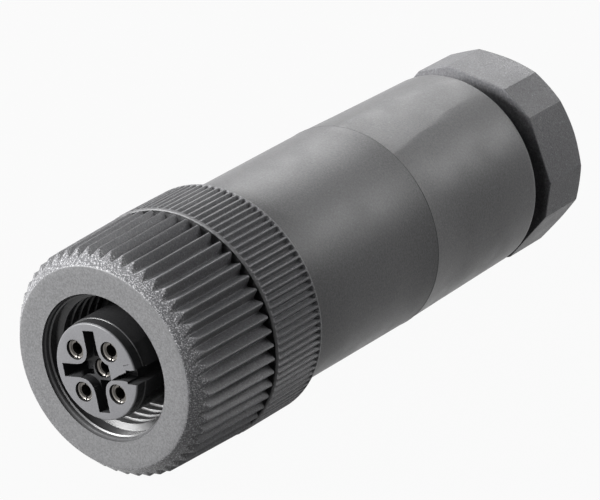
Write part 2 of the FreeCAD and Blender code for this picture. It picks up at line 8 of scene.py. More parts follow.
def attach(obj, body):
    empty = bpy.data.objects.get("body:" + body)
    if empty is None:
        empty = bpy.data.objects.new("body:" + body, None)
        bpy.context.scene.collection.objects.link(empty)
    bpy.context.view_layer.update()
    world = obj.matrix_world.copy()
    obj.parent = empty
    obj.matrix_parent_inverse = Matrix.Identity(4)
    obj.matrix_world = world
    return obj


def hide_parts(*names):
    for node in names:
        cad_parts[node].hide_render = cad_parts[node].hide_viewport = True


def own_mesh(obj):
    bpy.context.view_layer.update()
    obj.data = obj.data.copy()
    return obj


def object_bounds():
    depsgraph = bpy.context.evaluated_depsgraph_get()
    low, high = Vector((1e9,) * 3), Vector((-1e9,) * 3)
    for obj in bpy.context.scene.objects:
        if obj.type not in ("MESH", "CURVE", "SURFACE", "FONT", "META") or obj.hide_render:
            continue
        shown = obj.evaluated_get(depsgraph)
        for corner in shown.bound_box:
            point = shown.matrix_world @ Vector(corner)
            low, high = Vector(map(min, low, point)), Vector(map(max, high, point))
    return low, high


# Straight female M12 cable connector. Its shapes are drawn in millimetres and scaled to metres by dress().
# It lies along Y with the mating face to -Y. An angle round the axis is in degrees, seen from the mating face,
# from +X towards +Z. Outlines are (radius, y) points, given in the order that goes round the section.

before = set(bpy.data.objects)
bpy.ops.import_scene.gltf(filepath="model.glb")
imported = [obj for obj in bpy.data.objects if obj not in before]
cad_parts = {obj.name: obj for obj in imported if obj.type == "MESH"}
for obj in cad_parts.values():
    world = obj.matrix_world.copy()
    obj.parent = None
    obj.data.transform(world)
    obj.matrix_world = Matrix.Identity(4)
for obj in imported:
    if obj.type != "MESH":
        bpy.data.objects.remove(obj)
cad_low, cad_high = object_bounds()

MM = 0.001

# Corners nearer than this are one corner, and edges shorter than the second size are taken out, in mm.
MERGE_DISTANCE, SHORTEST_EDGE = 1e-4, 1e-5

# Stations along the axis
NUT_FRONT_Y, NUT_REAR_Y = 0.8, 10.1
COLLAR_FRONT_Y, COLLAR_REAR_Y = 10.35, 16.25
SPIGOT_REAR_Y = 22.3
HOUSING_FRONT_Y, SEAM_Y, HOUSING_REAR_Y = 16.3, 33.5, 48.5
GLAND_SPIGOT_REAR_Y = 52.1
GLAND_FRONT_Y, GLAND_REAR_Y = 50.3, 56.2


# ---- small tools -------------------------------------------------------------------------------------------

def linear(hex_code):
    """The linear colour of an sRGB hex value."""
    channels = [int(hex_code[start:start + 2], 16) / 255 for start in (1, 3, 5)]
    return [c / 12.92 if c <= 0.04045 else ((c + 0.055) / 1.055) ** 2.4 for c in channels] + [1.0]


def add(tree, kind, settings=None, links=None):
    """Adds a node. A setting goes to the input of that name or number, or else to the node's own property."""
    node = tree.nodes.new(kind)
    for name, value in (settings or {}).items():
        if isinstance(name, int) or name in node.inputs:
            node.inputs[name].default_value = value
        else:
            setattr(node, name, value)
    for name, socket in (links or {}).items():
        tree.links.new(socket, node.inputs[name])
    return node


def at(radius, angle, y):
    """A point at a radius and an angle round the axis."""
    turn = math.radians(angle)
    return Vector((radius * math.cos(turn), y, radius * math.sin(turn)))


def new_object(name, corners=(), faces=()):
    """An object in the scene with a mesh of these corners and faces."""
    mesh = bpy.data.meshes.new(name)
    mesh.from_pydata([tuple(corner) for corner in corners], [], faces)
    thing = bpy.data.objects.new(name, mesh)
    bpy.context.scene.collection.objects.link(thing)
    return thing


def clean(thing, merge=0.0, shortest=0.0):
    """Merges corners nearer than merge, dissolves edges under shortest, and turns the faces outwards."""
    work = bmesh.new()
    work.from_mesh(thing.data)
    if merge:
        bmesh.ops.remove_doubles(work, verts=work.verts, dist=merge)
    if shortest:
        bmesh.ops.dissolve_degenerate(work, edges=work.edges, dist=shortest)
    bmesh.ops.recalc_face_normals(work, faces=work.faces)
    work.to_mesh(thing.data)
    work.free()
    return thing


def solid(name, corners, faces):
    """A closed object of these corners and faces, with its doubles merged."""
    return clean(new_object(name, corners, faces), MERGE_DISTANCE, SHORTEST_EDGE)


def bridge(columns, count, closed):
    """The faces between neighbouring columns, each a closed outline of this many points."""
    faces = []
    for column in range(columns if closed else columns - 1):
        here, there = column * count, (column + 1) % columns * count
        for i in range(count):
            j = (i + 1) % count
            faces.append((here + i, here + j, there + j, there + i))
    return faces


def lathe(name, outline, steps=192):
    """A closed outline turned round the axis."""
    corners = [at(radius, 360 * step / steps, y) for step in range(steps) for radius, y in outline]
    return solid(name, corners, bridge(steps, len(outline), True))


def shift(thing, place):
    """Moves a shape across the axis to a place given as (x, z)."""
    thing.data.transform(Matrix.Translation((place[0], 0, place[1])))
    return thing


def rod(radius, start, end, centre=(0, 0), steps=64):
    """A cutter: a closed round rod along the axis, round a centre given as (x, z)."""
    return shift(lathe("cutter", [(0, start), (radius, start), (radius, end), (0, end)], steps), centre)


def slab(inner, outer, width, start, end, angle):
    """A cutter: a block between two distances from the axis and two stations, turned round the axis."""
    turn = math.radians(angle)
    corners = []
    for x, y, z in ((x, y, z) for x in (inner, outer) for y in (start, end) for z in (-width / 2, width / 2)):
        corners.append((x * math.cos(turn) - z * math.sin(turn), y, x * math.sin(turn) + z * math.cos(turn)))
    return solid(
        "cutter", corners, [(0, 1, 3, 2), (4, 6, 7, 5), (0, 4, 5, 1), (2, 3, 7, 6), (0, 2, 6, 4), (1, 5, 7, 3)]
    )


def prism(name, outlines):
    """Two outlines with as many corners, joined by sides and closed at both ends."""
    near, far = outlines
    count = len(near)
    sides = [(i, (i + 1) % count, count + (i + 1) % count, count + i) for i in range(count)]
    ends = [tuple(range(count)), tuple(range(count, 2 * count))]
    return solid(name, near + far, sides + ends)


def settle(thing):
    """Turns an object with its modifiers into a plain mesh."""
    graph = bpy.context.evaluated_depsgraph_get()
    graph.update()
    old = thing.data
    thing.data = bpy.data.meshes.new_from_object(thing.evaluated_get(graph))
    thing.modifiers.clear()
    thing.data.name = thing.name
    bpy.data.meshes.remove(old)
    return thing


def carve(thing, tools, operation="DIFFERENCE"):
    """Cuts the tools out of a thing, or keeps what it shares with them, and removes the tools."""
    for tool in tools:
        modifier = thing.modifiers.new("carve", "BOOLEAN")
        modifier.operation = operation
        modifier.solver = "EXACT"
        modifier.object = tool
        settle(thing)
        bpy.data.objects.remove(tool)
    return thing


def ease(thing, width, segments=2, angle=25):
    """Rounds the edges that are sharper than an angle, as a mould or a cutter leaves them."""
    modifier = thing.modifiers.new("ease", "BEVEL")
    modifier.width = width
    modifier.segments = segments
    modifier.limit_method = "ANGLE"
    modifier.angle_limit = math.radians(angle)
    modifier.use_clamp_overlap = True
    modifier.miter_outer = "MITER_ARC"
    return settle(thing)


def dress(thing, body, node, material, sharp=32):
    """Scales a finished shape to metres, shades it, and lets it ride on its body in the place of a CAD node."""
    thing.data.transform(Matrix.Scale(MM, 4))
    thing.data.shade_smooth()
    thing.data.set_sharp_from_angle(angle=math.radians(sharp))
    thing.data.materials.clear()
    thing.data.materials.append(material)
    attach(thing, body)
    if node:
        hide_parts(node)
    return thing


def finish_behind(thing, material, start, inner=0.0, outer=math.inf):
    """Gives another finish to a dressed piece's faces behind a station and between two radii, in mm."""
    thing.data.materials.append(material)
    for face in thing.data.polygons:
        middle = face.center / MM
        if middle.y > start and inner < math.hypot(middle.x, middle.z) < outer:
            face.material_index = len(thing.data.materials) - 1


# ---- finishes ----------------------------------------------------------------------------------------------

# Fibre ends and the eroded grain leave a moulded skin less mirror-like than its bare resin.
PLASTIC_GLOSS = 0.18
# The roughness of a moulding wanders by this much to each side, in patches of this size.
GLOSSIER, DULLER = 0.03, 0.04
PATCH_MM = 2.5
# How far above its threshold a fleck reaches its full share: a low step gives hard-edged flecks.
FLECK_STEP = 0.18
# The levels between which the grain's and the patches' noise mostly lies
GRAIN_LOW, GRAIN_HIGH = 0.3, 0.7
PATCH_LOW, PATCH_HIGH = 0.35, 0.65

# The same for plated metal
PLATING_GLOSSIER, PLATING_DULLER = 0.05, 0.07
PLATING_PATCH_MM = 0.6
# The Wave Texture turns through this many radians for each unit of its scaled coordinate.
WAVE_RADIANS = 20


def new_material(name):
    """An empty node material, its tree, and its Object coordinates."""
    material = bpy.data.materials.new(name)
    material.use_nodes = True
    tree = material.node_tree
    tree.nodes.clear()
    place = add(tree, "ShaderNodeTexCoord").outputs["Object"]
    return material, tree, place


def moulded_plastic(
    name, colour, fleck, roughness, grain_mm, grain_depth_mm, fleck_mm, fleck_share,
    ior=1.53, gloss=PLASTIC_GLOSS, mottle=0.12, fleck_level=0.6,
):
    """Moulded plastic: a fine spark-eroded grain, slightly uneven gloss, and pale flecks: its filler, and on
    the nut's cone also painted glints.
    """
    material, tree, place = new_material(name)
    grain = add(
        tree, "ShaderNodeTexNoise",
        {"Scale": 1 / (grain_mm * MM), "Detail": 3.0, "Roughness": 0.6},
        {"Vector": place},
    ).outputs["Fac"]
    patches = add(
        tree, "ShaderNodeTexNoise", {"Scale": 1 / (PATCH_MM * MM), "Detail": 2.0}, {"Vector": place}
    ).outputs["Fac"]
    flecks = add(
        tree, "ShaderNodeTexNoise", {"Scale": 1 / (fleck_mm * MM), "Detail": 1.0}, {"Vector": place}
    ).outputs["Fac"]
    share = add(
        tree, "ShaderNodeMapRange",
        {"From Min": fleck_level, "From Max": fleck_level + FLECK_STEP, "To Max": fleck_share},
        {"Value": flecks},
    )
    flecked = add(
        tree, "ShaderNodeMix",
        {"data_type": "RGBA", 6: linear(colour), 7: linear(fleck)},
        {"Factor": share.outputs["Result"]},
    )
    shade = add(
        tree, "ShaderNodeMapRange",
        {"From Min": GRAIN_LOW, "From Max": GRAIN_HIGH, "To Min": 1 - mottle, "To Max": 1 + mottle},
        {"Value": grain},
    )
    mottled = add(
        tree, "ShaderNodeVectorMath", {"operation": "SCALE"},
        {0: flecked.outputs[2], "Scale": shade.outputs["Result"]},
    )
    uneven = add(
        tree, "ShaderNodeMapRange",
        {
            "From Min": PATCH_LOW, "From Max": PATCH_HIGH,
            "To Min": roughness - GLOSSIER, "To Max": roughness + DULLER,
        },
        {"Value": patches},
    )
    bump = add(tree, "ShaderNodeBump", {"Strength": 1.0, "Distance": grain_depth_mm * MM}, {"Height": grain})
    shader = add(
        tree, "ShaderNodeBsdfPrincipled",
        {"IOR": ior, "Specular IOR Level": gloss},
        {"Base Color": mottled.outputs[0], "Roughness": uneven.outputs["Result"], "Normal": bump.outputs[0]},
    )
    add(tree, "ShaderNodeOutputMaterial", None, {"Surface": shader.outputs["BSDF"]})
    return material


def turned_metal(name, colour, worn, roughness, ring_mm):
    """Turned and plated metal: fine tool rings across the axis and slightly uneven plating."""
    material, tree, place = new_material(name)
    rings = add(
        tree, "ShaderNodeTexWave",
        {
            "wave_type": "BANDS", "bands_direction": "Y", "Distortion": 0.6,
            "Scale": math.tau / (ring_mm * MM) / WAVE_RADIANS,
        },
        {"Vector": place},
    )
    patches = add(
        tree, "ShaderNodeTexNoise", {"Scale": 1 / (PLATING_PATCH_MM * MM), "Detail": 3.0}, {"Vector": place}
    ).outputs["Fac"]
    plating = add(
        tree, "ShaderNodeMix", {"data_type": "RGBA", 6: linear(colour), 7: linear(worn)}, {"Factor": patches}
    )
    uneven = add(
        tree, "ShaderNodeMapRange",
        {"To Min": roughness - PLATING_GLOSSIER, "To Max": roughness + PLATING_DULLER},
        {"Value": patches},
    )
    bump = add(
        tree, "ShaderNodeBump", {"Strength": 0.4, "Distance": 0.003 * MM}, {"Height": rings.outputs["Fac"]}
    )
    shader = add(
        tree, "ShaderNodeBsdfPrincipled", {"Metallic": 1.0},
        {"Base Color": plating.outputs[2], "Roughness": uneven.outputs["Result"], "Normal": bump.outputs[0]},
    )
    add(tree, "ShaderNodeOutputMaterial", None, {"Surface": shader.outputs["BSDF"]})
    return material


# Glass-filled polyamide 6, injection moulded in a finely spark-eroded mould: dark grey, satin, nearly smooth.
# The real grain is too fine for the render, so it is drawn at 0.15 mm here and at 0.13 to 0.3 mm below.
polyamide = moulded_plastic(
    "glass_filled_polyamide", "#5a5a5b", "#6b6b6d", 0.38, 0.15, 0.011, 0.2, 0.5, mottle=0.24
)
# The same plastic where the mould is eroded coarsely for grip: a rougher skin, mottled by its glass.
grip_polyamide = moulded_plastic(
    "coarse_grained_polyamide", "#606062", "#86868a", 0.4, 0.15, 0.035, 0.18, 0.6, mottle=0.3
)
# The nut's front cone, eroded coarsest: its facets glint, and its dense pale flecks are partly its glass filler
# and partly painted glints.
cone_polyamide_painted_glints = moulded_plastic(
    "coarse_polyamide_painted_glints", "#525254", "#a6a6a8", 0.36, 0.13, 0.05, 0.12, 0.8,
    gloss=0.26, mottle=0.3, fleck_level=0.5,
)
# The same plastic where the mould's core is polished, in the nut's bore: glossy, dark but for its reflections.
core_polyamide = moulded_plastic(
    "polished_core_polyamide", "#4a4a4b", "#505052", 0.27, 0.2, 0.002, 0.3, 0.3, gloss=0.36
)
# Unfilled polyamide of the insulator, smoother and a little glossier than the housing's.
insulator = moulded_plastic("insulator_polyamide", "#5e5e60", "#68686b", 0.34, 0.14, 0.002, 0.3, 0.4)
# The same insulator round its side and in its slots, holes and keyway: glossier where the mould is polished,
# and its colour darkened to nearly black as painted shade.
insulator_painted_shade = moulded_plastic(
    "insulator_polyamide_painted_shade", "#303031", "#38383a", 0.24, 0.2, 0.001, 0.3, 0.3
)
# The cage's acetal: even, slightly waxy, lighter.
acetal = moulded_plastic("cage_acetal", "#68686c", "#707074", 0.4, 0.2, 0.002, 0.4, 0.4, ior=1.48)
# Nitrile rubber: nearly black, dull, with a soft bloom.
nitrile = moulded_plastic("nitrile_rubber", "#1c1c1d", "#2b2b2c", 0.62, 0.3, 0.005, 0.5, 0.6, ior=1.52)
# Turned sockets, nickel plated, with turning rings: their colour is darkened to a dark neutral grey as painted
# shade of their holes. The real rings are finer than 0.1 mm and are drawn wider, so that they show.
nickel_painted_shade = turned_metal("nickel_plated_brass_painted_shade", "#75726e", "#696663", 0.28, 0.377)
# Nickel-plated steel screws: bright, slightly warm.
nickel = turned_metal("nickel_plated_steel", "#b9b6b0", "#a8a5a0", 0.3, 0.314)


# ---- knurled rings -----------------------------------------------------------------------------------------

def repeat_round_axis(thing, count, material):
    """Geometry Nodes repeat one sector round the axis, weld the sectors and give them their finish."""
    tree = bpy.data.node_groups.new("repeat_round_axis", "GeometryNodeTree")
    face = tree.interface
    face.new_socket("Sector", in_out="INPUT", socket_type="NodeSocketGeometry")
    count_id = face.new_socket("Sectors", in_out="INPUT", socket_type="NodeSocketInt").identifier
    weld_id = face.new_socket("Weld distance", in_out="INPUT", socket_type="NodeSocketFloat").identifier
    face.new_socket("Ring", in_out="OUTPUT", socket_type="NodeSocketGeometry")
    given = add(tree, "NodeGroupInput").outputs
    points = add(tree, "GeometryNodePoints", None, {"Count": given["Sectors"]})
    step = add(tree, "ShaderNodeMath", {"operation": "DIVIDE", 0: math.tau}, {1: given["Sectors"]})
    index = add(tree, "GeometryNodeInputIndex")
    turn = add(tree, "ShaderNodeMath", {"operation": "MULTIPLY"}, {0: index.outputs[0], 1: step.outputs[0]})
    euler = add(tree, "ShaderNodeCombineXYZ", None, {"Y": turn.outputs[0]})
    rotation = add(tree, "FunctionNodeEulerToRotation", None, {0: euler.outputs[0]})
    ring = add(
        tree, "GeometryNodeInstanceOnPoints", None,
        {"Points": points.outputs[0], "Instance": given["Sector"], "Rotation": rotation.outputs[0]},
    )
    real = add(tree, "GeometryNodeRealizeInstances", None, {0: ring.outputs[0]})
    weld = add(
        tree, "GeometryNodeMergeByDistance", None,
        {"Geometry": real.outputs[0], "Distance": given["Weld distance"]},
    )
    paint = add(tree, "GeometryNodeSetMaterial", {"Material": material}, {"Geometry": weld.outputs[0]})
    add(tree, "NodeGroupOutput", None, {"Ring": paint.outputs[0]})
    modifier = thing.modifiers.new("repeat", "NODES")
    modifier.node_group = tree
    modifier[count_id] = count
    modifier[weld_id] = MERGE_DISTANCE
    return settle(thing)


def soft_min(a, b, radius):
    """The smaller of two heights, with the corner between them rounded."""
    spread = max(radius - abs(a - b), 0.0) / radius
    return min(a, b) - spread * spread * radius / 4


def soft_max(a, b, radius):
    """The larger of two heights, with the corner between them rounded."""
    return -soft_min(-a, -b, radius)


def plain(*points):
    """Outline points that are the same all round."""
    return [(radius, y, False) for radius, y in points]


def ribbed(*points):
    """Outline points that follow the ribs, wherever these lie inside the point's own radius."""
    return [(radius, y, True) for radius, y in points]


UNCUT = 12.0    # an outline radius outside every rib


def knurled_ring(name, ribs, phase, outline, surface, samples, material):
    """A ring made from one rib: its section is drawn at each sample from the rib's crest, at share 0, to the
    groove's middle, at share 1, with its ribbed points at surface(share, radius, y)."""
    half = 180 / ribs
    shares = [-share for share in reversed(samples[1:])] + list(samples)
    corners = []
    for share in shares:
        for radius, y, worked in outline:
            corners.append(at(surface(abs(share), radius, y) if worked else radius, phase + share * half, y))
    thing = new_object(name, corners, bridge(len(shares), len(outline), False))
    return clean(repeat_round_axis(thing, ribs, material))


NUT_RIBS, NUT_PHASE = 52, 9.7
NUT_FACE_R, NUT_CONE_RISE = 8.52, 0.85
NUT_CREST_FRONT_R, NUT_CREST_REAR_R = 9.62, 9.9
# The ribs deepen from the front over this length.
NUT_RIB_DEPTH_FRONT, NUT_RIB_DEPTH, NUT_DEEPENING = 0.5, 0.82, 3.4
# Each flank runs on past crest and groove by this height, which leaves a narrow flat on both.
NUT_FLANK_OVERRUN = 0.07
NUT_CREST_ROUNDING, NUT_GROOVE_ROUNDING, NUT_CONE_ROUNDING = 0.1, 0.12, 0.05
NUT_REAR_CHAMFER = 0.08
# Past the first radius lie only the nut's outer faces, and inside the second only those of its bore.
NUT_OUTER_FACES_R, NUT_BORE_FACES_R = 7.5, 6.3
NUT_CONE_LENGTH = 1.4
NUT_SAMPLES = (0.0, 0.05, 0.09, 0.14, 0.2, 0.34, 0.5, 0.66, 0.8, 0.88, 0.94, 1.0)
NUT_RUN_R, NUT_FLANGE_Y = 5.0, 8.65


def nut_surface(share, envelope, y):
    """The nut's outside: V ribs with narrow rounded crests, under the cone of its front edge."""
    behind = y - NUT_FRONT_Y
    crest = NUT_CREST_FRONT_R + (NUT_CREST_REAR_R - NUT_CREST_FRONT_R) * behind / (NUT_REAR_Y - NUT_FRONT_Y)
    depth = NUT_RIB_DEPTH - (NUT_RIB_DEPTH - NUT_RIB_DEPTH_FRONT) * max(1 - behind / NUT_DEEPENING, 0.0)
    flank = crest + NUT_FLANK_OVERRUN - share * (depth + 2 * NUT_FLANK_OVERRUN)
    rib = soft_max(soft_min(crest, flank, NUT_CREST_ROUNDING), crest - depth, NUT_GROOVE_ROUNDING)
    return soft_min(rib, envelope, NUT_CONE_ROUNDING)


def nut_outline():
    """The nut's section: front face, front cone, ribs, rear edge, and the bore with the mouth's lip."""
    front, rear = NUT_FRONT_Y, NUT_REAR_Y
    cone = (0.07, 0.16, 0.25, 0.34, 0.43, 0.52, 0.61, 0.7, 0.79, 0.88, 0.97, 1.06, 1.15, 1.25, 1.36, 1.48, 1.62)
    rear_edge = NUT_CREST_REAR_R - NUT_REAR_CHAMFER
    bore = (
        (6.0, 7.85), (6.02, 4.5), (6.02, 1.12), (5.98, 1.0), (5.98, 0.86), (5.9, 0.8), (5.9, 0.7), (6.02, 0.62),
        (6.02, 0.36), (6.08, 0.28), (6.16, 0.2), (6.19, 0.06),
    )
    return [
        *plain((6.2, front), (6.9, front), (7.8, front), (NUT_FACE_R - 0.1, front)),
        *plain((NUT_FACE_R - 0.01, front + 0.02)),
        *ribbed(*((NUT_FACE_R + NUT_CONE_RISE * up, front + up) for up in cone)),
        *ribbed(*((UNCUT, y) for y in (2.9, 4.5, 6.1, 7.7, 9.2))),
        *ribbed(*((rear_edge + step, rear - step) for step in (0.35, 0.2, 0.12, 0.07, 0.03))),
        *ribbed((rear_edge - 0.02, rear)),
        *plain((8.4, rear), (NUT_RUN_R + 0.15, rear), (NUT_RUN_R, rear - 0.15), (NUT_RUN_R, NUT_FLANGE_Y)),
        *plain(*((radius, front + depth) for radius, depth in bore)),
    ]


nut = knurled_ring(
    "knurled_coupling_nut", NUT_RIBS, NUT_PHASE, nut_outline(), nut_surface, NUT_SAMPLES, polyamide
)
dress(nut, "coupling_nut", "coupling_nut", polyamide, sharp=38)
# The cone's dense pale flecks are partly painted glints.
finish_behind(nut, cone_polyamide_painted_glints, NUT_FRONT_Y + 0.04, inner=NUT_OUTER_FACES_R)
finish_behind(nut, grip_polyamide, NUT_FRONT_Y + NUT_CONE_LENGTH, inner=NUT_OUTER_FACES_R)
finish_behind(nut, core_polyamide, NUT_FRONT_Y + 0.02, outer=NUT_BORE_FACES_R)

COLLAR_RIBS, COLLAR_PHASE = 101, 8.64
COLLAR_R, COLLAR_OUTER_FACES_R = 9.95, 9.3
GROOVE_DEPTH = 0.35
GROOVE_START, GROOVE_END = COLLAR_FRONT_Y + 0.13, COLLAR_REAR_Y - 0.2
# The V's point lies below the groove's floor, and its flanks fall from there. Both are shares of the depth,
# the second for each half rib.
GROOVE_POINT, GROOVE_FLANK = 1.16, 1.5
# Lengths of the ramp at a groove's front end and of the wall at its rear end, and how far that wall is arched
GROOVE_RAMP, GROOVE_WALL, GROOVE_ARCH = 0.45, 0.14, 0.25
COLLAR_SAMPLES = (0.0, 0.2, 0.32, 0.5, 0.75, 0.88, 1.0)
TUBE_R, TUBE_BORE_R, TUBE_FRONT_Y = 4.95, 4.22, 8.57
POCKET_R, POCKET_Y = 6.6, 12.85
RING_SEAT_R, RING_SEAT_START, RING_SEAT_END = 7.1, 16.6, 17.9
SPIGOT_CORE_R = 7.44


def collar_surface(share, envelope, y):
    """The collar's outside: fine V grooves, run out to a point in front and ended by an arch behind."""
    across = 1 - share
    groove = GROOVE_DEPTH * (GROOVE_POINT - across * GROOVE_FLANK)
    ramp = (y - GROOVE_START) * GROOVE_DEPTH / GROOVE_RAMP
    wall = (GROOVE_END - GROOVE_ARCH * across * across - y) * GROOVE_DEPTH / GROOVE_WALL
    depth = max(soft_min(soft_min(groove, GROOVE_DEPTH, 0.08), min(ramp, wall), 0.03), 0.0)
    return soft_min(COLLAR_R - depth, envelope, 0.04)


def carrier_outline():
    """The carrier's section: tube, collar with its front recess and rims, O-ring seat, spigot core, pocket."""
    front, rear = COLLAR_FRONT_Y, COLLAR_REAR_Y
    recess = front + 0.6
    return [
        *plain((TUBE_BORE_R, TUBE_FRONT_Y), (TUBE_R, TUBE_FRONT_Y), (TUBE_R, recess), (9.64, recess)),
        *plain((9.7, front + 0.03), (9.76, front), (9.83, front + 0.02), (9.87, front + 0.07)),
        *plain((9.9, GROOVE_START)),
        *ribbed((9.94, GROOVE_START + 0.06)),
        *ribbed(*(
            (UNCUT, GROOVE_START + step) for step in (0.1, 0.17, 0.24, 0.31, 0.38, 0.45, 0.53, 1.6, 2.8, 4.0)
        )),
        *ribbed(*(
            (UNCUT, GROOVE_END - step) for step in (0.52, 0.42, 0.35, 0.29, 0.23, 0.17, 0.11, 0.05, 0.0)
        )),
        *plain((COLLAR_R, GROOVE_END + 0.06), (9.93, rear - 0.07), (9.88, rear - 0.02), (9.8, rear)),
        *plain((7.9, rear), (7.9, RING_SEAT_START), (RING_SEAT_R, RING_SEAT_START)),
        *plain((RING_SEAT_R, RING_SEAT_END)),
        *plain((SPIGOT_CORE_R, RING_SEAT_END), (SPIGOT_CORE_R, SPIGOT_REAR_Y - 0.25), (7.2, SPIGOT_REAR_Y)),
        *plain((POCKET_R, SPIGOT_REAR_Y), (POCKET_R, POCKET_Y), (TUBE_BORE_R, POCKET_Y)),
    ]


carrier = knurled_ring(
    "fine_knurled_carrier", COLLAR_RIBS, COLLAR_PHASE, carrier_outline(), collar_surface, COLLAR_SAMPLES,
    polyamide,
)
dress(carrier, "carrier", "contact_carrier", polyamide, sharp=38)
finish_behind(carrier, grip_polyamide, COLLAR_FRONT_Y + 0.1, inner=COLLAR_OUTER_FACES_R)


# ---- threads -----------------------------------------------------------------------------------------------

THREAD_PITCH = 1.0
# The share of a turn over which a thread grows to its full height at each end, and the share it starts with
RUN_OUT_TURNS, RUN_OUT_SHARE = 0.3, 0.05


def thread(name, wall_r, crest_r, start, end, root_width, crest_width, body, material):
    """A right-handed thread ridge: a spiral swept by a trapezoid, sunk into the wall that carries it."""
    tree = bpy.data.node_groups.new("thread_ridge", "GeometryNodeTree")
    face = tree.interface
    sizes = {
        "Wall radius": wall_r, "Crest height": abs(wall_r - crest_r), "Turns": (end - start) / THREAD_PITCH,
        "Length": end - start, "Root width": root_width, "Crest width": crest_width, "Start": start,
    }
    identifiers = {
        size: face.new_socket(size, in_out="INPUT", socket_type="NodeSocketFloat").identifier for size in sizes
    }
    face.new_socket("Ridge", in_out="OUTPUT", socket_type="NodeSocketGeometry")
    given = add(tree, "NodeGroupInput").outputs
    spiral = add(
        tree, "GeometryNodeCurveSpiral", {"Resolution": 96},
        {
            "Rotations": given["Turns"], "Height": given["Length"],
            "Start Radius": given["Wall radius"], "End Radius": given["Wall radius"],
        },
    )
    upright = add(tree, "GeometryNodeSetCurveNormal", {"mode": "Z_UP"}, {"Curve": spiral.outputs[0]})
    share = add(tree, "GeometryNodeSplineParameter").outputs["Factor"]
    rest = add(tree, "ShaderNodeMath", {"operation": "SUBTRACT", 0: 1.0}, {1: share})
    nearest = add(tree, "ShaderNodeMath", {"operation": "MINIMUM"}, {0: share, 1: rest.outputs[0]})
    turns = add(tree, "ShaderNodeMath", {"operation": "MULTIPLY"}, {0: nearest.outputs[0], 1: given["Turns"]})
    run_out = add(
        tree, "ShaderNodeMapRange", {"From Max": RUN_OUT_TURNS, "To Min": RUN_OUT_SHARE},
        {"Value": turns.outputs[0]},
    )
    sized = add(
        tree, "GeometryNodeSetCurveRadius", None,
        {"Curve": upright.outputs[0], "Radius": run_out.outputs["Result"]},
    )
    section = add(
        tree, "GeometryNodeCurvePrimitiveQuadrilateral", {"mode": "TRAPEZOID", "Offset": 0.0},
        {
            "Bottom Width": given["Root width"], "Top Width": given["Crest width"],
            "Height": given["Crest height"],
        },
    )
    half = add(tree, "ShaderNodeMath", {"operation": "MULTIPLY", 1: 0.5}, {0: given["Crest height"]})
    lift = add(tree, "ShaderNodeCombineXYZ", None, {"Y": half.outputs[0]})
    based = add(
        tree, "GeometryNodeTransform", None, {"Geometry": section.outputs[0], "Translation": lift.outputs[0]}
    )
    towards_crest = -90 if crest_r < wall_r else 90
    aimed = add(
        tree, "GeometryNodeTransform", {"Rotation": (0, 0, math.radians(towards_crest))},
        {"Geometry": based.outputs[0]},
    )
    radius = add(tree, "GeometryNodeInputRadius")
    ridge = add(
        tree, "GeometryNodeCurveToMesh", {"Fill Caps": True},
        {"Curve": sized.outputs[0], "Profile Curve": aimed.outputs[0], "Scale": radius.outputs[0]},
    )
    place = add(tree, "ShaderNodeCombineXYZ", None, {"Y": given["Start"]})
    laid = add(
        tree, "GeometryNodeTransform", {"Rotation": (math.radians(-90), 0, 0)},
        {"Geometry": ridge.outputs[0], "Translation": place.outputs[0]},
    )
    real = add(tree, "GeometryNodeRealizeInstances", None, {0: laid.outputs[0]})
    paint = add(tree, "GeometryNodeSetMaterial", {"Material": material}, {"Geometry": real.outputs[0]})
    add(tree, "NodeGroupOutput", None, {"Ridge": paint.outputs[0]})
    thing = new_object(name)
    modifier = thing.modifiers.new("thread", "NODES")
    modifier.node_group = tree
    for size, value in sizes.items():
        modifier[identifiers[size]] = value
    clean(settle(thing), merge=1e-5)
    return dress(thing, body, None, material, sharp=30)


# Name, radius of the wall and of the crest, first and last station, root and crest width
thread("coupling_thread", 6.06, 5.5, 2.3, 8.2, 0.92, 0.5, "coupling_nut", core_polyamide)
thread("spigot_thread", 7.4, 7.93, 18.25, 21.9, 0.85, 0.25, "carrier", polyamide)
thread("gland_spigot_thread", 6.55, 6.98, 49.05, 51.7, 0.8, 0.25, "housing", polyamide)


# ---- insulator ---------------------------------------------------------------------------------------------

FLANGE_R, FLANGE_FRONT_Y, FLANGE_REAR_Y = 5.4, 7.5, 8.55
SHANK_REAR_Y = 12.8
CONTACT_CIRCLE_R = 2.5
CONTACT_ANGLES = [67.7 + 90 * quarter for quarter in range(4)]
HOLE_R = 0.85
ISLAND_R = 1.18
# Three slots run outwards from the hollow core, which a bridge closes on the fourth side.
SLOT_ANGLE, SLOT_WIDTH, SLOT_END_R, SLOT_DEPTH = 112.7, 1.12, 3.42, 5
CORE_ANGLE, CORE_DEPTH, BRIDGE_X = 22.7, 0.85, 1.42
# A shallow channel curls round the lower left hole.
CHANNEL_R, CHANNEL_DEPTH = 1.74, 1.8
KEY_ANGLE, KEY_WIDTH, KEY_FLOOR_R, KEY_LENGTH = 18.5, 1.16, 3.1, 6.5
# A fine knit line in the face, beside the key
KNIT_ANGLE, KNIT_WIDTH, KNIT_START_R, KNIT_END_R, KNIT_DEPTH = 35.8, 0.05, 3.0, 3.65, 0.12
# Cutters start this far in front of the face, and those that go right through end behind the shank.
AHEAD, THROUGH = -1, 13.5
# The keyway's mouth as (x, z) points: it narrows inwards round the island of the lower right hole.
KEYWAY_EDGE = [
    (1.54, -0.02), (1.84, 0.37), (2.19, 0.75), (2.55, 1.1), (2.93, 1.42), (3.36, 1.8), (4.6, 2.35), (4.9, 0.9),
    (3.62, 0.67), (3.2, 0.6), (2.8, 0.52), (2.4, 0.38), (2.01, 0.2), (1.75, 0.06),
]
KEYWAY_MOUTH_DEPTH = 1.3


def ring_place(angle):
    """The (x, z) place of a point on the contacts' circle."""
    spot = at(CONTACT_CIRCLE_R, angle, 0)
    return spot.x, spot.z


